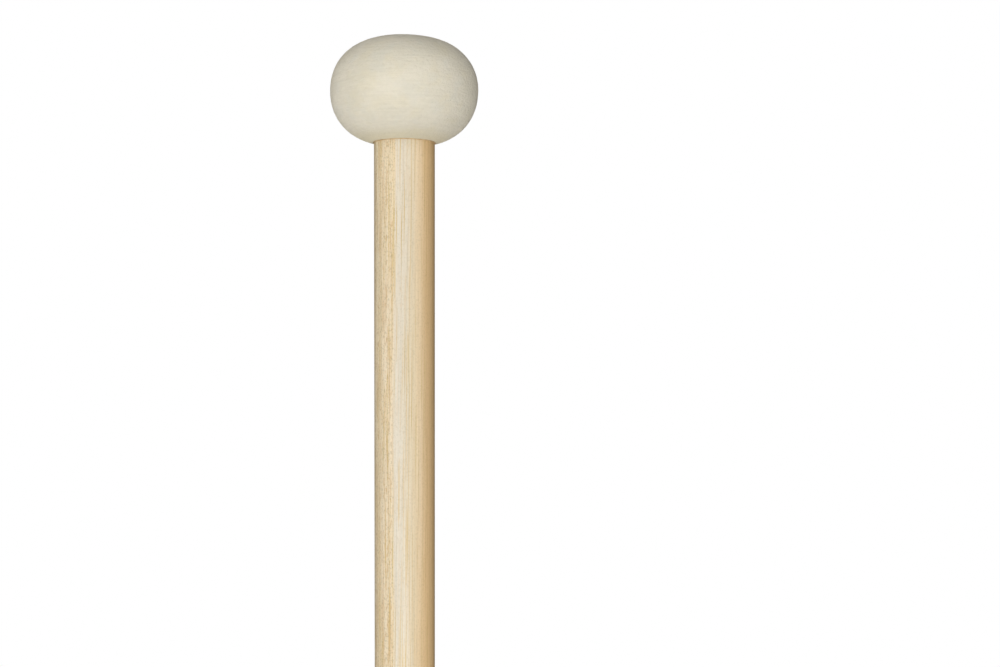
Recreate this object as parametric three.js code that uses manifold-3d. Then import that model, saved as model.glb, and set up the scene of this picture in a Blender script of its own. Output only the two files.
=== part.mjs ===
// Marching bass drum mallet: a turned hickory shaft whose tenon is glued and screwed into a hardwood core,
// with a felt underlay and a ground felt cover moulded round the core.
// Millimetres, +Z up. The origin is the middle of the flat on the shaft's butt end.
import * as THREE from "three";
import { mergeVertices } from "three/addons/utils/BufferGeometryUtils.js";
import Module from "manifold-3d";

const wasm = await Module();
wasm.setup();

// Whole mallet
const overallLength = 368.3;

// Head, outside the felt
const headDiameter = 50.8;
const crownRise = 17.9;
const undersideDrop = 18.6;
const sidePower = 2.8;
const risePower = 2.1;

// Layers of the head, from the outside in
const coverThickness = 2.4;
const underlayThickness = 2.6;
const glueLine = 0.3;

// Shaft
const neckDiameter = 20.96;
const buttDiameter = 20.46;
const buttFlatDiameter = 11.2;
const buttRoundRise = 2.4;

// Tenon on the shaft's head end
const tenonDiameter = 12.7;
const tenonChamfer = 0.8;
const reliefWidth = 1;
const reliefDepth = 0.4;
const glueGrooveCount = 3;
const glueGrooveWidth = 1.2;
const glueGrooveDepth = 0.4;

// Core
const coreSeatMargin = 1;
const webThickness = 4;
const socketChamfer = 0.6;

// Screw and washer that hold the core on the tenon
const screwDiameter = 4.2;
const screwLength = 25.4;
const screwPointLength = 4;
const screwHeadDiameter = 8;
const screwHeadHeight = 2.4;
const screwClearance = 0.3;
const recessLength = 4.6;
const recessWidth = 1;
const recessDepth = 1.5;
const cutOverrun = 1;
const pilotSpareDepth = 1;
const washerDiameter = 14;
const washerThickness = 1.2;
const washerRimChamfer = 0.3;
const headroom = 0.4;

// Facets
const shaftSides = 64;
const coverSides = 64;
const coreSides = 48;
const metalSides = 32;
const outsideSteps = 24;
const layerSteps = 14;
const roundSteps = 6;

const finish = {
  hickory: new THREE.MeshStandardMaterial({ color: 0xe0c79f, roughness: 0.42 }),
  maple: new THREE.MeshStandardMaterial({ color: 0xe3cfa6, roughness: 0.7 }),
  zinc: new THREE.MeshStandardMaterial({ color: 0xb9bcc0, roughness: 0.35, metalness: 1 }),
  underlay: new THREE.MeshStandardMaterial({ color: 0xbdb7a8, roughness: 0.95 }),
  felt: new THREE.MeshStandardMaterial({ color: 0xdcd5c0, roughness: 0.95 }),
};

// The head's nested surfaces, and the places on them. Heights are from the head's widest circle.
const coverOutside = headSurface(0);
const coverInside = headSurface(coverThickness);
const underlayOutside = headSurface(coverThickness + glueLine);
const underlayInside = headSurface(coverThickness + glueLine + underlayThickness);
const coreSurface = headSurface(coverThickness + glueLine + underlayThickness + glueLine);
const neckRadius = neckDiameter / 2;
const feltNeckRadius = neckRadius + glueLine;
const tenonRadius = tenonDiameter / 2;
const screwHoleRadius = screwDiameter / 2 + screwClearance;
const counterboreRadius = washerDiameter / 2 + screwClearance;
const coreSeatRadius = neckRadius + coreSeatMargin;
const coreSeat = undersideHeight(coreSurface, coreSeatRadius);
const washerSeat = coreSurface.rise - headroom - screwHeadHeight - washerThickness;
const socketTop = washerSeat - webThickness;
const tenonTop = socketTop - glueLine;
const pilotBottom = washerSeat + washerThickness - screwLength - pilotSpareDepth;
const equatorHeight = overallLength - crownRise;

// One of the nested surfaces: a squared-off ellipsoid, inset evenly from the outside of the felt.
function headSurface(inset) {
  return {
    radius: headDiameter / 2 - inset,
    rise: crownRise - inset,
    drop: undersideDrop - inset,
  };
}

function undersideHeight(surface, radius) {
  return -surface.drop * (1 - (radius / surface.radius) ** sidePower) ** (1 / risePower);
}

// Points up a head surface, from a radius on its underside to a radius on its crown, an even angle apart.
function headCurve(surface, lowRadius, highRadius, steps) {
  const angleAt = (radius) => Math.acos((radius / surface.radius) ** (sidePower / 2));
  const low = -angleAt(lowRadius);
  const high = angleAt(highRadius);
  return Array.from({ length: steps + 1 }, (_, i) => {
    const angle = low + ((high - low) * i) / steps;
    const reach = angle < 0 ? -surface.drop : surface.rise;
    const radius = i === steps ? highRadius : surface.radius * Math.cos(angle) ** (2 / sidePower);
    return [radius, reach * Math.abs(Math.sin(angle)) ** (2 / risePower)];
  });
}

// A quarter of an ellipse between two points of a profile: it leaves the first level and ends upright.
function quarterRound([fromRadius, fromHeight], [toRadius, toHeight]) {
  return Array.from({ length: roundSteps + 1 }, (_, i) => {
    const angle = ((Math.PI / 2) * i) / roundSteps;
    return [
      fromRadius + (toRadius - fromRadius) * Math.sin(angle),
      fromHeight + (toHeight - fromHeight) * (1 - Math.cos(angle)),
    ];
  });
}

// A turned solid, from a half profile of [radius, height] points that runs up the outside.
function turned(profile, sides) {
  const points = profile.map(([radius, height]) => new THREE.Vector2(radius, height));
  return new THREE.LatheGeometry(points, sides).rotateX(Math.PI / 2);
}

function toSolid(geometry) {
  const bare = mergeVertices(geometry.clone().deleteAttribute("normal").deleteAttribute("uv"));
  const corners = Array.from(bare.index.array);
  const triangles = [];
  for (let i = 0; i < corners.length; i += 3) {
    const triangle = corners.slice(i, i + 3);
    if (new Set(triangle).size === 3) triangles.push(...triangle);
  }
  return new wasm.Manifold(
    new wasm.Mesh({
      numProp: 3,
      vertProperties: bare.attributes.position.array,
      triVerts: new Uint32Array(triangles),
    }),
  );
}

function toGeometry(solid) {
  const { vertProperties, triVerts } = solid.getMesh();
  const geometry = new THREE.BufferGeometry()
    .setAttribute("position", new THREE.BufferAttribute(vertProperties, 3))
    .setIndex(new THREE.BufferAttribute(triVerts, 1));
  geometry.computeVertexNormals();
  return geometry;
}

// The hickory handle, from its own origin at the butt: rounded butt, slight taper up to the shoulder under
// the head, then the tenon with its corner relief, glue grooves and pilot hole.
function shaftGeometry() {
  const fromEquator = (height) => equatorHeight + height;
  const shoulder = fromEquator(coreSeat);
  const tip = fromEquator(tenonTop);
  const grooveRadius = tenonRadius - glueGrooveDepth;
  const reliefRadius = tenonRadius - reliefDepth;
  const gripStart = shoulder + reliefWidth;
  const gripLength = tip - tenonChamfer - gripStart;
  const land = (gripLength - glueGrooveCount * glueGrooveWidth) / (glueGrooveCount + 1);
  const grooves = [];
  for (let i = 0; i < glueGrooveCount; i++) {
    const low = gripStart + land + i * (land + glueGrooveWidth);
    const high = low + glueGrooveWidth;
    grooves.push([tenonRadius, low], [grooveRadius, low], [grooveRadius, high], [tenonRadius, high]);
  }
  return turned(
    [
      [0, 0],
      ...quarterRound([buttFlatDiameter / 2, 0], [buttDiameter / 2, buttRoundRise]),
      [neckRadius, shoulder],
      [reliefRadius, shoulder],
      [reliefRadius, gripStart],
      [tenonRadius, gripStart],
      ...grooves,
      [tenonRadius, tip - tenonChamfer],
      [tenonRadius - tenonChamfer, tip],
      [screwHoleRadius, tip],
      [screwHoleRadius, fromEquator(pilotBottom + screwPointLength)],
      [0, fromEquator(pilotBottom)],
    ],
    shaftSides,
  );
}

// The turned core: a flat seat on the shaft's shoulder, a socket for the tenon, and a counterbore in the
// crown for the washer and the screw's head, with a web left between them.
function coreGeometry() {
  const socketRadius = tenonRadius + glueLine;
  return turned(
    [
      [screwHoleRadius, socketTop],
      [socketRadius, socketTop],
      [socketRadius, coreSeat + socketChamfer],
      [socketRadius + socketChamfer, coreSeat],
      ...headCurve(coreSurface, coreSeatRadius, counterboreRadius, layerSteps),
      [counterboreRadius, washerSeat],
      [screwHoleRadius, washerSeat],
      [screwHoleRadius, socketTop],
    ],
    coreSides,
  );
}

function washerGeometry() {
  const rimRadius = washerDiameter / 2;
  return turned(
    [
      [screwHoleRadius, 0],
      [rimRadius, 0],
      [rimRadius, washerThickness - washerRimChamfer],
      [rimRadius - washerRimChamfer, washerThickness],
      [screwHoleRadius, washerThickness],
      [screwHoleRadius, 0],
    ],
    metalSides,
  );
}

// A round-head wood screw as thick as its thread, with a cross recess. The head seats on height 0.
function screwGeometry() {
  const shankRadius = screwDiameter / 2;
  const dome = quarterRound([0, screwHeadHeight], [screwHeadDiameter / 2, 0]).reverse();
  const screw = toSolid(
    turned(
      [[0, -screwLength], [shankRadius, screwPointLength - screwLength], [shankRadius, 0], ...dome],
      metalSides,
    ),
  );
  const slotHeight = recessDepth + cutOverrun;
  const slotMiddle = screwHeadHeight - recessDepth + slotHeight / 2;
  const slot = new THREE.BoxGeometry(recessLength, recessWidth, slotHeight).translate(0, 0, slotMiddle);
  const crossSlot = slot.clone().rotateZ(Math.PI / 2);
  return toGeometry(screw.subtract(toSolid(slot)).subtract(toSolid(crossSlot)));
}

// A felt layer between two of the head's surfaces, open at the neck and closed over the crown.
function feltGeometry(outside, outsideStepCount, inside, sides) {
  return turned(
    [
      ...headCurve(inside, feltNeckRadius, 0, layerSteps).reverse(),
      ...headCurve(outside, feltNeckRadius, 0, outsideStepCount),
    ],
    sides,
  );
}

function piece(name, geometry, material, height = 0) {
  const mesh = new THREE.Mesh(geometry, material);
  mesh.name = name;
  mesh.position.z = height;
  return mesh;
}

const head = new THREE.Group();
head.position.z = equatorHeight;
head.add(
  piece("head_core", coreGeometry(), finish.maple),
  piece("core_washer", washerGeometry(), finish.zinc, washerSeat),
  piece("core_screw", screwGeometry(), finish.zinc, washerSeat + washerThickness),
  piece(
    "felt_underlay",
    feltGeometry(underlayOutside, layerSteps, underlayInside, coreSides),
    finish.underlay,
  ),
  piece("felt_cover", feltGeometry(coverOutside, outsideSteps, coverInside, coverSides), finish.felt),
);

const mallet = new THREE.Group();
mallet.add(piece("shaft", shaftGeometry(), finish.hickory), head);

export default mallet;
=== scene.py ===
"""The looks of a marching bass drum mallet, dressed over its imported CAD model.

Metres, +Z up, shaft on the Z axis, head up. The camera looks along +Y, so the side that shows is -Y.
"""

import math

import bpy
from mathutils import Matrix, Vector, noise


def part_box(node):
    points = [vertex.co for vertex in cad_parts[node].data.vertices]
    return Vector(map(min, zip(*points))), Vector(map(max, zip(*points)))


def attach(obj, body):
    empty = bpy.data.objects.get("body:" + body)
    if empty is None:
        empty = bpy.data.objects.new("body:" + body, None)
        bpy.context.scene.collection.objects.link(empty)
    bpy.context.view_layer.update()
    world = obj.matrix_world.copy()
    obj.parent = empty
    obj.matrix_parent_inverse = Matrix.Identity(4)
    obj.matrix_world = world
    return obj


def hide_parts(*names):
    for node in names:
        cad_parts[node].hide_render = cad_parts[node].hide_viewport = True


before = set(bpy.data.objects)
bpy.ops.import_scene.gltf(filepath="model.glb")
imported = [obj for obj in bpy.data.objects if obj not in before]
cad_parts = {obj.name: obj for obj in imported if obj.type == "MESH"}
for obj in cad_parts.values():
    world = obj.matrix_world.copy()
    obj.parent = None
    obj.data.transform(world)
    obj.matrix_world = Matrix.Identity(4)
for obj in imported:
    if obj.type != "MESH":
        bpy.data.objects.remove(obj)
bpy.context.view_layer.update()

MM = 0.001

# Points of the CAD model that are closer than this are taken as one
SAME_PLACE = 0.001 * MM

# The photograph's frame, and where the mallet lies in it, in pixels
IMAGE_WIDTH_PX = 1000
IMAGE_HEIGHT_PX = 667
FOCAL_PX = 1300
SHAFT_AXIS_PX = 404.6
EQUATOR_PX = 91.0

# Camera
SENSOR_WIDTH_MM = 36
CAMERA_DISTANCE = 448.2 * MM
CAMERA_ROLL = math.radians(0.045)

# The head's outside: a squared-off ellipsoid, fitted to the felt's outline in the photograph
HEAD_RADIUS = 25.4 * MM
CROWN_RISE = 17.9 * MM
UNDERSIDE_DROP = 18.7 * MM
SIDE_POWER = 2.78
RISE_POWER = 2.08
HEAD_LEAN = 0.2 * MM

# Layers of the head
COVER_THICKNESS = 2.4 * MM
UNDERLAY_THICKNESS = 2.6 * MM
GLUE_GAP = 0.3 * MM
FELT_EDGE_GAP = 0.12 * MM

# The bead of glue at the neck
BEAD_RADIUS = 0.20 * MM
BEAD_UNEVENNESS = 0.35
BEAD_NOISE_SCALE = 5

# Shaft
BUTT_FLAT_RADIUS = 5.6 * MM
BUTT_ROUND_RISE = 2.4 * MM
BUTT_TONE_HEIGHT = 2.1 * MM
SHARP_EDGE_ANGLE = math.radians(35)

# Sizes and places taken from the CAD model
NECK_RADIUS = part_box("shaft")[1].x
FELT_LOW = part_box("felt_cover")[0].z
EQUATOR_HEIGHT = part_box("felt_cover")[1].z - CROWN_RISE

# Light of the studio. The lamps face the shaft's axis at LAMP_AIM_HEIGHT, some way under the head
LAMP_AIM_HEIGHT = EQUATOR_HEIGHT * 0.8
AMBIENT_LIGHT = 0.05
GLOSS_WHITE = 0.38
WHITE = (1, 1, 1, 1)
PALE_GREY = (0.9, 0.9, 0.9, 1)
NEAR_BLACK = (0.02, 0.02, 0.02, 1)

# Fineness of the meshes
SHAFT_SIDES = 192
FELT_SIDES = 384
UNDERLAY_SIDES = 128
FLOOR_SIDES = 96
BEAD_SIDES = 10
FELT_STEPS = 220
LAYER_STEPS = 60
ROUND_STEPS = 24
TAPER_STEPS = 80


# Meshes


def mesh_object(name, vertices, faces):
    mesh = bpy.data.meshes.new(name)
    mesh.from_pydata(vertices, [], faces)
    mesh.validate()
    mesh.shade_smooth()
    piece = bpy.data.objects.new(name, mesh)
    bpy.context.scene.collection.objects.link(piece)
    return piece


def turned(name, profile, sides, shift=None):
    """A closed turned mesh from a profile of (radius, height) points.

    The profile starts and ends on the axis and runs up the outside. shift moves each finished point: it
    gets the point, and returns the new one.
    """
    vertices = []
    rings = []
    for radius, height in profile:
        if radius == 0:
            rings.append([len(vertices)])
            vertices.append(Vector((0, 0, height)))
            continue
        rings.append(range(len(vertices), len(vertices) + sides))
        for side in range(sides):
            angle = 2 * math.pi * side / sides
            vertices.append(Vector((radius * math.cos(angle), radius * math.sin(angle), height)))
    if shift:
        vertices = [shift(point) for point in vertices]
    faces = []
    for low, high in zip(rings, rings[1:]):
        for side in range(sides):
            after = (side + 1) % sides
            lower = [low[side % len(low)], low[after % len(low)]]
            upper = [high[after % len(high)], high[side % len(high)]]
            # Beside the axis a face is a triangle, and its doubled corner is dropped
            faces.append(list(dict.fromkeys(lower + upper)))
    return mesh_object(name, vertices, faces)


def head_curve(inset, low_radius, steps):
    """Points up one of the head's nested surfaces, from a radius on its underside to the crown's middle."""
    radius = HEAD_RADIUS - inset
    low = -math.acos((low_radius / radius) ** (SIDE_POWER / 2))
    points = []
    for step in range(steps):
        angle = low + (math.pi / 2 - low) * step / steps
        across = radius * math.cos(angle) ** (2 / SIDE_POWER)
        if angle < 0:
            height = -(UNDERSIDE_DROP - inset) * math.sin(-angle) ** (2 / RISE_POWER)
        else:
            height = (CROWN_RISE - inset) * math.sin(angle) ** (2 / RISE_POWER)
        points.append((across, EQUATOR_HEIGHT + height))
    return points + [(0, EQUATOR_HEIGHT + CROWN_RISE - inset)]


def felt_layer(name, inset, thickness, edge_radius, sides, steps, shift):
    """A shell of felt, its outside at an inset from the head's outside, open round the shaft."""
    inner = head_curve(inset + thickness, edge_radius, LAYER_STEPS)
    outer = head_curve(inset, edge_radius, steps)
    return turned(name, inner[::-1] + outer, sides, shift)


def quarter_round(start, end, steps):
    """A quarter of an ellipse that leaves the first point level and reaches the second upright."""
    points = []
    for step in range(steps + 1):
        angle = math.pi / 2 * step / steps
        across = start[0] + (end[0] - start[0]) * math.sin(angle)
        points.append((across, start[1] + (end[1] - start[1]) * (1 - math.cos(angle))))
    return points


# Pieces


def half_profile(node):
    """The outline of a turned CAD node in the half plane of +X, in order from the foot of the axis."""
    places = {}
    neighbours = {}
    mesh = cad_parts[node].data
    for edge in mesh.edges:
        ends = []
        for index in edge.vertices:
            point = mesh.vertices[index].co
            if point.x > -SAME_PLACE and abs(point.y) < SAME_PLACE:
                key = (round(point.x / SAME_PLACE), round(point.z / SAME_PLACE))
                places[key] = (max(point.x, 0), point.z)
                ends.append(key)
        if len(ends) == 2 and ends[0] != ends[1]:
            neighbours.setdefault(ends[0], set()).add(ends[1])
            neighbours.setdefault(ends[1], set()).add(ends[0])
    here = min(places, key=lambda key: (key[1], key[0]))
    order = [here]
    while True:
        onward = [key for key in neighbours[here] if key not in order]
        if not onward:
            return [places[key] for key in order]
        here = max(onward)
        order.append(here)


def make_shaft():
    """The CAD shaft turned smooth: the same outline, with a finer round on the butt."""
    outline = half_profile("shaft")
    radii = [radius for radius, height in outline]
    shoulder = radii.index(max(radii))
    neck_radius, neck_height = outline[shoulder]
    butt_top = BUTT_ROUND_RISE + SAME_PLACE
    butt_radius = max(radius for radius, height in outline if height <= butt_top)
    butt_round = quarter_round((BUTT_FLAT_RADIUS, 0), (butt_radius, BUTT_ROUND_RISE), ROUND_STEPS)
    taper = []
    for step in range(1, TAPER_STEPS):
        share = step / TAPER_STEPS
        radius = butt_radius + (neck_radius - butt_radius) * share
        taper.append((radius, BUTT_ROUND_RISE + (neck_height - BUTT_ROUND_RISE) * share))
    pilot_hole_end = (0, outline[-1][1])
    profile = [(0, 0), *butt_round, *taper, *outline[shoulder:-1], pilot_hole_end]
    shaft = turned("shaft_wood", profile, SHAFT_SIDES)
    shaft.data.set_sharp_from_angle(angle=SHARP_EDGE_ANGLE)
    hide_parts("shaft")
    return shaft


def leaned(point):
    """The moulded head sits a little askew: its crown leans to +X."""
    return point + Vector((HEAD_LEAN * (point.z - EQUATOR_HEIGHT) / CROWN_RISE, 0, 0))


def felt_surface(swell, nap, nap_size):
    """A shift for a felt layer: slow unevenness of the moulding and the fine nap of the ground felt."""
    swell_size = 14 * MM
    increment = 0.8
    lacunarity = 2.1
    octaves = 3

    def shifted(point):
        outward = Vector((point.x, point.y, point.z - EQUATOR_HEIGHT)).normalized()
        slow = noise.noise(point / swell_size) * swell
        fine = noise.fractal(point / nap_size, increment, lacunarity, octaves) * nap
        return leaned(point + outward * (slow + fine))

    return shifted


def make_cover():
    edge_radius = NECK_RADIUS + FELT_EDGE_GAP
    shift = felt_surface(swell=0.16 * MM, nap=0.05 * MM, nap_size=1.1 * MM)
    cover = felt_layer("felt_head", 0, COVER_THICKNESS, edge_radius, FELT_SIDES, FELT_STEPS, shift)
    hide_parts("felt_cover")
    return cover


def make_underlay():
    edge_radius = NECK_RADIUS + GLUE_GAP
    inset = COVER_THICKNESS + GLUE_GAP
    shift = felt_surface(swell=0.16 * MM, nap=0.06 * MM, nap_size=2 * MM)
    layer = felt_layer(
        "felt_liner", inset, UNDERLAY_THICKNESS, edge_radius, UNDERLAY_SIDES, LAYER_STEPS, shift
    )
    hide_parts("felt_underlay")
    return layer


def make_glue_line():
    """The amber bead that squeezed out all round where the felt meets the shaft."""
    seat_height = head_curve(0, NECK_RADIUS + FELT_EDGE_GAP, FELT_STEPS)[0][1]
    vertices = []
    faces = []
    for side in range(SHAFT_SIDES):
        angle = 2 * math.pi * side / SHAFT_SIDES
        around = Vector((math.cos(angle), math.sin(angle), 0))
        plump = BEAD_RADIUS * (1 + BEAD_UNEVENNESS * noise.noise(around * BEAD_NOISE_SCALE))
        here = side * BEAD_SIDES
        onward = (side + 1) % SHAFT_SIDES * BEAD_SIDES
        for corner in range(BEAD_SIDES):
            turn = 2 * math.pi * corner / BEAD_SIDES
            across = NECK_RADIUS + FELT_EDGE_GAP / 2 + plump * math.cos(turn)
            vertices.append(around * across + Vector((0, 0, seat_height + plump * math.sin(turn))))
            after = (corner + 1) % BEAD_SIDES
            faces.append([here + corner, onward + corner, onward + after, here + after])
    return mesh_object("neck_glue_line", vertices, faces)


# Materials


def srgb(red, green, blue):
    """A colour written as it looks on screen, 0 to 255, as the linear colour that shaders take."""

    def linear(value):
        value /= 255
        return value / 12.92 if value <= 0.04045 else ((value + 0.055) / 1.055) ** 2.4

    return (linear(red), linear(green), linear(blue), 1)


class Shader:
    """Builds one node tree. Inputs are numbers, colours or sockets of other nodes."""

    def __init__(self, tree):
        self.tree = tree
        tree.nodes.clear()

    def node(self, kind, inputs=None, **settings):
        made = self.tree.nodes.new("ShaderNode" + kind)
        for name, value in settings.items():
            setattr(made, name, value)
        for name, value in (inputs or {}).items():
            socket = made.inputs[name]
            if isinstance(value, bpy.types.NodeSocket):
                self.tree.links.new(value, socket)
            else:
                socket.default_value = value
        return made

    def math(self, operation, first, second=0.0):
        return self.node("Math", {0: first, 1: second}, operation=operation).outputs[0]

    def plus(self, first, second):
        return self.math("ADD", first, second)

    def times(self, first, second):
        return self.math("MULTIPLY", first, second)

    def larger(self, first, second):
        return self.math("MAXIMUM", first, second)

    def between(self, share, at_none, at_full):
        """A number that goes from at_none to at_full as share goes from 0 to 1."""
        return self.plus(self.times(share, at_full - at_none), at_none)

    def smooth(self, value, low, high, low_result=0.0, high_result=1.0):
        """An eased step: low_result at low, high_result at high. high may be the smaller of the two."""
        inputs = {
            "Value": value,
            "From Min": low,
            "From Max": high,
            "To Min": low_result,
            "To Max": high_result,
        }
        return self.node("MapRange", inputs, interpolation_type="SMOOTHSTEP").outputs["Result"]

    def mix(self, factor, first, second, blend="MIX"):
        """Two colours mixed. The Mix node's colours go in at sockets 6 and 7 and come out at 2."""
        inputs = {0: factor, 6: first, 7: second}
        return self.node("Mix", inputs, data_type="RGBA", blend_type=blend).outputs[2]

    def place(self, scale, shift=(0, 0, 0), source=None):
        """Object coordinates in millimetres, or the vector source, scaled and then moved by shift."""
        if source is None:
            source = self.node("TexCoord").outputs["Object"]
            scale = tuple(factor / MM for factor in scale)
        return self.node("Mapping", {"Vector": source, "Scale": scale, "Location": shift}).outputs[0]

    def position(self):
        """Object coordinates in millimetres, as three numbers."""
        split = self.node("SeparateXYZ", {"Vector": self.place((1, 1, 1))})
        return [split.outputs[axis] for axis in "XYZ"]

    def noise(self, scale, shift=(0, 0, 0), detail=2.0, roughness=0.5, source=None):
        """Noise from 0 to 1, where scale is cycles to the millimetre along each axis."""
        place = self.place(scale, shift, source)
        inputs = {"Vector": place, "Scale": 1.0, "Detail": detail, "Roughness": roughness}
        return self.node("TexNoise", inputs).outputs["Fac"]


def new_material(name):
    material = bpy.data.materials.new(name)
    material.use_nodes = True
    return material, Shader(material.node_tree)


def finish_surface(shader, inputs, height, bump_distance):
    """The Principled surface with a bump made from a height field."""
    bump = shader.node("Bump", {"Height": height, "Distance": bump_distance}).outputs["Normal"]
    surface = shader.node("BsdfPrincipled", {**inputs, "Normal": bump})
    shader.node("OutputMaterial", {"Surface": surface.outputs["BSDF"]})


def wood_material(
    name, light, straw, sapwood_and_rim_light, pale, heart, line, pore, roughness_range, specular, butt_tone=None
):
    """Straight-grained wood cut lengthwise.

    Its rings lie round a far pith: each starts with a thin line and a band of open pores. One ring is
    paler, partly in the wood's own tone and partly as a painted highlight that whitens the lacquer's sheen
    in front, and from it on towards the pith the wood is calmer. One side of the stick reaches into the
    warmer heartwood, the other (-X) into lighter sapwood, whose lightness is partly painted light on that
    rim.
    """
    material, shader = new_material(name)
    plus = shader.plus
    times = shader.times
    smooth = shader.smooth

    # Rings, by their depth from the pith, and the heartwood's edge, by the place across the stick
    pith_x_mm = 60.0
    pith_y_mm = -36.0
    ring_width_mm = 5.5
    ring_shift_mm = -5.0
    ring_wander_mm = 3.0
    ring_slant = 0.0045
    grain_slant = 0.01
    pale_and_highlight_ring = 12
    heart_start_mm = 4.2
    heart_full_mm = 10.6
    # Where the lighter sapwood tone begins and is full; it is partly painted light that brightens the
    # stick's -X rim
    sapwood_rim_light_start_mm = 70.5
    sapwood_rim_light_full_mm = 74.0

    # Strengths of the tones and marks, from 0 to 1
    pale_and_highlight_strength = 0.85
    calm_near_pith = 0.68
    calm_in_heart = 0.85
    ring_line_strength = 0.60
    butt_tone_strength = 0.85

    x, y, z = shader.position()
    straight_x = plus(x, times(z, -grain_slant))
    along_grain = shader.node("CombineXYZ", {"X": straight_x, "Y": y, "Z": z}).outputs[0]

    def noise_of(across, along, shift, detail=1.5):
        """Noise drawn out along the grain. across and along are cycles to the millimetre."""
        return shader.noise((across, across, along), shift, detail, source=along_grain)

    def marks(across, along, shift, low, high):
        """Marks along the grain: none where such a noise is under low, full where it is over high."""
        return smooth(noise_of(across, along, shift), low, high)

    from_pith = shader.node("CombineXYZ", {"X": plus(x, -pith_x_mm), "Y": plus(y, -pith_y_mm)}).outputs[0]
    distance = shader.node("VectorMath", {0: from_pith}, operation="LENGTH").outputs["Value"]
    wander = times(noise_of(0.05, 0.008, (3, 1, 4), detail=3.0), ring_wander_mm)
    depth = plus(plus(distance, plus(wander, times(z, ring_slant))), ring_shift_mm)
    ring = shader.math("FRACT", shader.math("DIVIDE", depth, ring_width_mm))
    porous = times(smooth(ring, 0.0, 0.12), smooth(ring, 1.0, 0.4))
    ring_start = times(smooth(ring, 0.0, 0.012), smooth(ring, 0.052, 0.04))

    # The pale ring, partly a painted highlight that whitens the lacquer's sheen in front, has a crisp edge
    # on the outside and fades slowly towards the pith
    pale_outside_mm = pale_and_highlight_ring * ring_width_mm
    pale_inside_mm = (pale_and_highlight_ring - 1) * ring_width_mm
    near_pith = smooth(depth, pale_outside_mm + 0.3, pale_outside_mm - 0.9)
    in_pale_ring_and_highlight = times(near_pith, smooth(depth, pale_inside_mm - 2.5, pale_inside_mm + 3.0))
    in_heart = smooth(plus(x, wander), heart_start_mm, heart_full_mm)
    in_sapwood_and_rim_light = smooth(depth, sapwood_rim_light_start_mm, sapwood_rim_light_full_mm)
    calm = shader.larger(times(near_pith, calm_near_pith), times(in_heart, calm_in_heart))
    lively = shader.math("SUBTRACT", 1.0, calm)

    straw_streaks = marks(across=0.35, along=0.010, shift=(11, 2, 5), low=0.35, high=0.65)
    colour = shader.mix(straw_streaks, light, straw)
    # The pale ring's colour: partly the wood's own tone, partly a painted highlight
    colour = shader.mix(times(in_pale_ring_and_highlight, pale_and_highlight_strength), colour, pale)
    colour = shader.mix(in_heart, colour, heart)
    # Lighter sapwood towards the -X rim: partly the wood's tone, partly painted light on that rim
    colour = shader.mix(in_sapwood_and_rim_light, colour, sapwood_and_rim_light)

    unbroken = marks(across=0.3, along=0.010, shift=(6, 6, 1), low=0.42, high=0.50)
    ring_lines = times(times(ring_start, unbroken), ring_line_strength)
    long_lines = marks(across=2.4, along=0.022, shift=(6, 5, 3), low=0.595, high=0.628)
    long_lines = times(long_lines, shader.between(in_heart, 0.70, 0.25))
    short_lines = marks(across=2.6, along=0.045, shift=(7, 7, 3), low=0.53, high=0.62)
    short_lines = times(short_lines, shader.between(porous, 0.50, 0.65))
    dashes = marks(across=2.4, along=0.40, shift=(2, 9, 1), low=0.55, high=0.65)
    dashes = times(dashes, shader.between(porous, 0.40, 0.65))
    pores = times(shader.larger(short_lines, dashes), lively)
    colour = shader.mix(pores, colour, pore)
    colour = shader.mix(shader.larger(long_lines, ring_lines), colour, line)

    # Fibres and flecks shade the colour, and take more of its blue than of its red and green
    fibres = noise_of(1.8, 0.025, (5, 1, 9), detail=2.0)
    flecks = noise_of(1.8, 1.5, (3, 3, 8), detail=2.0)
    fibre_depth = shader.between(lively, 0.02, 0.04)
    fleck_depth = shader.between(lively, -0.03, -0.21)
    fibre_shade = plus(times(smooth(fibres, 0.3, 0.7, -1.0, 1.0), fibre_depth), 1.0)
    fleck_shade = plus(times(smooth(flecks, 0.48, 0.70), fleck_depth), 1.0)
    shade = times(fibre_shade, fleck_shade)
    blue_shade = plus(times(shade, 1.2), -0.2)
    shade = shader.node("CombineColor", {"Red": shade, "Green": shade, "Blue": blue_shade})
    colour = shader.mix(1.0, colour, shade.outputs["Color"], blend="MULTIPLY")

    if butt_tone:
        # The end grain's tone goes up the butt to a ragged edge
        tone_top_mm = BUTT_TONE_HEIGHT / MM
        ragged_mm = 0.7
        ragged_height = plus(z, times(shader.noise((0.8, 0.8, 0.8)), ragged_mm))
        end_grain = smooth(ragged_height, tone_top_mm + ragged_mm, tone_top_mm - 0.1)
        colour = shader.mix(times(end_grain, butt_tone_strength), colour, butt_tone)

    relief = shader.math("SUBTRACT", times(fibres, 0.3), times(pores, 0.7))
    inputs = {
        "Base Color": colour,
        "Roughness": smooth(fibres, 0.3, 0.7, *roughness_range),
        "Specular IOR Level": specular,
    }
    finish_surface(shader, inputs, relief, 0.03 * MM)
    return material


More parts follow.
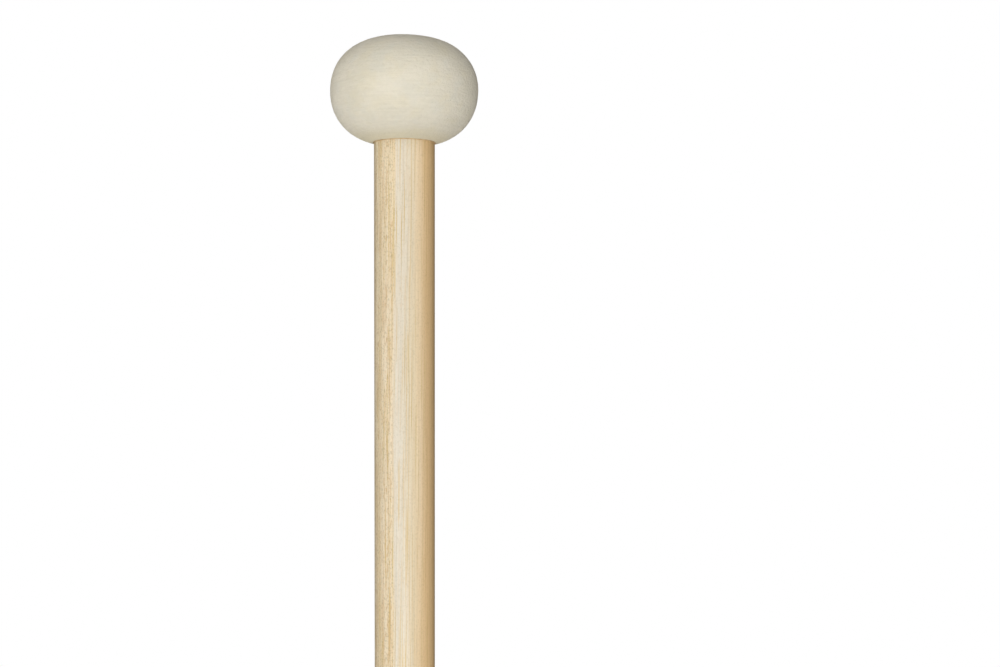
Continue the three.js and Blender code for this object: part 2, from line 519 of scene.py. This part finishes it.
def felt_material(name, pale, shade, stain, stain_height):
    """Hard ground felt: matted fibres, fine grinding streaks round the head and a stain at the glue."""
    material, shader = new_material(name)
    plus = shader.plus
    times = shader.times
    smooth = shader.smooth
    warm_tint = srgb(228, 212, 160)
    cool_tint = srgb(204, 212, 212)
    tint_strength = 0.09
    speck_tint = srgb(120, 112, 92)
    speck_strength = 0.05
    stain_strength = 0.55
    stain_rise_mm = 3.5

    mottle = shader.noise((0.7, 0.7, 0.9), detail=3.0)
    clouds = shader.noise((0.07, 0.07, 0.09), shift=(4, 8, 3))
    streaks = shader.noise((0.12, 0.12, 1.8), shift=(2, 6, 4), detail=3.0)
    specks = shader.noise((1.8, 1.8, 1.8), shift=(9, 3, 7), detail=3.0, roughness=0.7)
    warm = shader.noise((0.16, 0.16, 0.18), shift=(7, 1, 5))
    cool = shader.noise((0.15, 0.15, 0.18), shift=(2, 9, 6))
    tone = plus(plus(times(mottle, 0.20), times(clouds, 0.45)), times(streaks, 0.35))
    stain_low_mm = stain_height / MM
    stained = smooth(shader.position()[2], stain_low_mm + stain_rise_mm, stain_low_mm)
    colour = shader.mix(smooth(tone, 0.37, 0.65), pale, shade)
    colour = shader.mix(times(smooth(warm, 0.48, 0.68), tint_strength), colour, warm_tint)
    colour = shader.mix(times(smooth(cool, 0.52, 0.68), tint_strength), colour, cool_tint)
    colour = shader.mix(times(smooth(specks, 0.58, 0.72), speck_strength), colour, speck_tint)
    colour = shader.mix(times(stained, stain_strength), colour, stain)

    matting = shader.noise((0.9, 0.9, 1.1), shift=(1, 5, 2), detail=3.0, roughness=0.6)
    fuzz = shader.noise((3.0, 3.0, 3.0), shift=(6, 2, 8), detail=3.0, roughness=0.6)
    relief = plus(plus(matting, times(fuzz, 0.5)), times(streaks, 0.30))
    inputs = {
        "Base Color": colour,
        "Roughness": 1.0,
        "Diffuse Roughness": 0.22,
        "Specular IOR Level": 0.1,
    }
    finish_surface(shader, inputs, relief, 0.35 * MM)
    return material


def glue_material():
    """Dried glue, amber where it lies thick."""
    material, shader = new_material("dried_glue")
    thick = shader.noise((0.5, 0.5, 0.5))
    colour = shader.mix(shader.smooth(thick, 0.3, 0.7), srgb(222, 196, 150), srgb(190, 154, 106))
    finish_surface(shader, {"Base Color": colour, "Roughness": 0.4}, thick, 0.05 * MM)
    return material


def steel_material():
    """Bright zinc on steel: a faint bluish spangle with fine turned scratches."""
    material, shader = new_material("zinc_steel")
    spangle = shader.noise((0.8, 0.8, 0.8), detail=3.0)
    scratches = shader.noise((0.6, 0.6, 9.0), shift=(2, 2, 2))
    colour = shader.mix(shader.smooth(spangle, 0.3, 0.7), srgb(196, 199, 205), srgb(168, 172, 180))
    roughness = shader.smooth(scratches, 0.3, 0.7, 0.24, 0.42)
    inputs = {"Base Color": colour, "Metallic": 1.0, "Roughness": roughness}
    finish_surface(shader, inputs, scratches, 0.01 * MM)
    return material


def dress(piece, material):
    """Puts the material in the piece's slots. A new mesh has none yet and gets one."""
    if not piece.material_slots:
        piece.data.materials.append(material)
    for slot in piece.material_slots:
        slot.material = material


# Studio


def make_camera():
    camera_data = bpy.data.cameras.new("camera")
    camera_data.sensor_width = SENSOR_WIDTH_MM
    camera_data.lens = SENSOR_WIDTH_MM * FOCAL_PX / IMAGE_WIDTH_PX
    camera = bpy.data.objects.new("camera", camera_data)
    to_metres = CAMERA_DISTANCE / FOCAL_PX
    across = (IMAGE_WIDTH_PX / 2 - SHAFT_AXIS_PX) * to_metres
    below_equator = (IMAGE_HEIGHT_PX / 2 - EQUATOR_PX) * to_metres
    camera.location = (across, -CAMERA_DISTANCE, EQUATOR_HEIGHT - below_equator)
    camera.rotation_euler = (math.pi / 2, CAMERA_ROLL, 0)
    bpy.context.scene.collection.objects.link(camera)
    bpy.context.scene.camera = camera


def make_lamp(name, azimuth, elevation, distance, width, height, radiance):
    """A soft box aimed at the mallet.

    Azimuth is from the camera's side, positive to its right. radiance is how bright the box's face is.
    """
    data = bpy.data.lights.new(name, "AREA")
    data.shape = "RECTANGLE"
    data.size = width
    data.size_y = height
    data.energy = radiance * math.pi * width * height
    lamp = bpy.data.objects.new(name, data)
    turn = math.radians(azimuth)
    rise = math.radians(elevation)
    target = Vector((0, 0, LAMP_AIM_HEIGHT))
    away = Vector((math.sin(turn) * math.cos(rise), -math.cos(turn) * math.cos(rise), math.sin(rise)))
    lamp.location = target + away * distance
    lamp.rotation_euler = (target - lamp.location).to_track_quat("-Z", "Y").to_euler()
    bpy.context.scene.collection.objects.link(lamp)
    return lamp


def seen_directly(shader):
    """1 for rays that see or mirror the background, 0 for rays that gather light."""
    path = shader.node("LightPath")
    seen = shader.larger(path.outputs["Is Camera Ray"], path.outputs["Is Glossy Ray"])
    return shader.larger(seen, path.outputs["Is Transmission Ray"])


def make_world():
    """White to look at, and softer in gloss, so that polished rims keep their edge.

    As a light it is a faint fill.
    """
    world = bpy.data.worlds.new("studio")
    world.use_nodes = True
    bpy.context.scene.world = world
    shader = Shader(world.node_tree)
    lit = shader.node("Background", {"Color": WHITE, "Strength": AMBIENT_LIGHT})
    mirrored = shader.node("LightPath").outputs["Is Glossy Ray"]
    strength = shader.smooth(mirrored, 0.0, 1.0, 1.0, GLOSS_WHITE)
    white = shader.node("Background", {"Color": WHITE, "Strength": strength})
    both = shader.node(
        "MixShader", {0: seen_directly(shader), 1: lit.outputs[0], 2: white.outputs[0]}
    )
    shader.node("OutputWorld", {"Surface": both.outputs[0]})


def make_floor():
    """A pale floor that keeps the mallet's shadow near it, and is plain white further off.

    It can't be seen from below, and lets the low lamp's light through.
    """
    floor_radius = 0.28
    clear_radius = 0.12
    white_radius = 0.26
    near_white_share = 0.6
    rim = []
    for side in range(FLOOR_SIDES):
        angle = 2 * math.pi * side / FLOOR_SIDES
        rim.append((floor_radius * math.cos(angle), floor_radius * math.sin(angle), 0))
    floor = mesh_object("studio_floor", rim, [list(range(FLOOR_SIDES))])
    material, shader = new_material("studio_floor")
    position = shader.node("TexCoord").outputs["Object"]
    distance = shader.node("VectorMath", {0: position}, operation="LENGTH").outputs["Value"]
    far = shader.smooth(distance, clear_radius, white_radius, near_white_share, 1.0)
    diffuse = shader.node("BsdfDiffuse", {"Color": PALE_GREY})
    white = shader.node("Emission", {"Color": WHITE, "Strength": 1.0})
    share = shader.times(far, seen_directly(shader))
    both = shader.node("MixShader", {0: share, 1: diffuse.outputs[0], 2: white.outputs[0]})
    from_below = shader.node("NewGeometry").outputs["Backfacing"]
    clear = shader.node("BsdfTransparent", {"Color": WHITE})
    surface = shader.node("MixShader", {0: from_below, 1: both.outputs[0], 2: clear.outputs[0]})
    shader.node("OutputMaterial", {"Surface": surface.outputs[0]})
    dress(floor, material)
    floor.visible_shadow = False


def make_flag(name, side, near):
    """A dark card beside the set that only gloss sees. It keeps the rims of polished rounds dark on white.

    near is how far behind the mallet it starts.
    """
    distance = 0.22
    far = 1.3
    low = -0.6
    high = 1.2
    corners = [(near, low), (far, low), (far, high), (near, high)]
    flag = mesh_object(name, [(side * distance, y, z) for y, z in corners], [[0, 1, 2, 3]])
    material, shader = new_material(name)
    dark = shader.node("BsdfDiffuse", {"Color": NEAR_BLACK})
    shader.node("OutputMaterial", {"Surface": dark.outputs[0]})
    dress(flag, material)
    flag.visible_camera = False
    flag.visible_diffuse = False
    flag.visible_transmission = False
    flag.visible_shadow = False


make_camera()

hickory = wood_material(
    "lacquered_hickory",
    light=srgb(235, 218, 188),
    straw=srgb(230, 211, 176),
    # sapwood: lighter wood, and partly painted light on the stick's -X rim
    sapwood_and_rim_light=srgb(246, 228, 193),
    # pale: partly the wood's tone, partly a painted highlight, whiter where the lacquer's sheen lies
    pale=srgb(220, 211, 193),
    heart=srgb(231, 195, 142),
    line=srgb(210, 181, 118),
    pore=srgb(205, 169, 115),
    roughness_range=(0.26, 0.34),
    specular=0.50,
    butt_tone=srgb(190, 148, 98),
)
maple = wood_material(
    "raw_maple",
    light=srgb(236, 221, 190),
    straw=srgb(224, 203, 166),
    sapwood_and_rim_light=srgb(240, 226, 196),
    pale=srgb(238, 227, 203),
    heart=srgb(220, 196, 156),
    line=srgb(206, 176, 130),
    pore=srgb(206, 176, 130),
    roughness_range=(0.6, 0.7),
    specular=0.2,
)
cover_felt = felt_material(
    "ground_felt",
    pale=srgb(232, 225, 207),
    shade=srgb(223, 216, 197),
    stain=srgb(226, 216, 184),
    stain_height=FELT_LOW,
)
underlay_felt = felt_material(
    "liner_felt",
    pale=srgb(196, 190, 176),
    shade=srgb(178, 172, 158),
    stain=srgb(170, 160, 132),
    stain_height=FELT_LOW,
)
zinc = steel_material()

pieces = [
    (make_shaft(), hickory),
    (make_cover(), cover_felt),
    (make_underlay(), underlay_felt),
    (make_glue_line(), glue_material()),
]
for piece, material in pieces:
    dress(piece, material)
    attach(piece, "root")
for name, material in (("head_core", maple), ("core_washer", zinc), ("core_screw", zinc)):
    dress(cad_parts[name], material)

make_world()
make_lamp("key", azimuth=-30, elevation=4, distance=1.3, width=0.9, height=1.4, radiance=1.35)
make_lamp("low", azimuth=3, elevation=-31, distance=4.0, width=2.4, height=2.4, radiance=5.0)
make_lamp("top", azimuth=0, elevation=35, distance=2.0, width=1.2, height=1.2, radiance=2.2)
make_lamp("right", azimuth=60, elevation=12, distance=1.0, width=0.5, height=1.2, radiance=1.20)
make_lamp("left", azimuth=-75, elevation=16, distance=1.0, width=0.5, height=1.2, radiance=0.95)
back = make_lamp("back", azimuth=180, elevation=10, distance=2.6, width=0.3, height=1.4, radiance=46.0)
back.visible_glossy = False
make_floor()
make_flag("flag_left", side=-1, near=0.17)
make_flag("flag_right", side=1, near=0.13)
bpy.context.scene.view_settings.view_transform = "Standard"
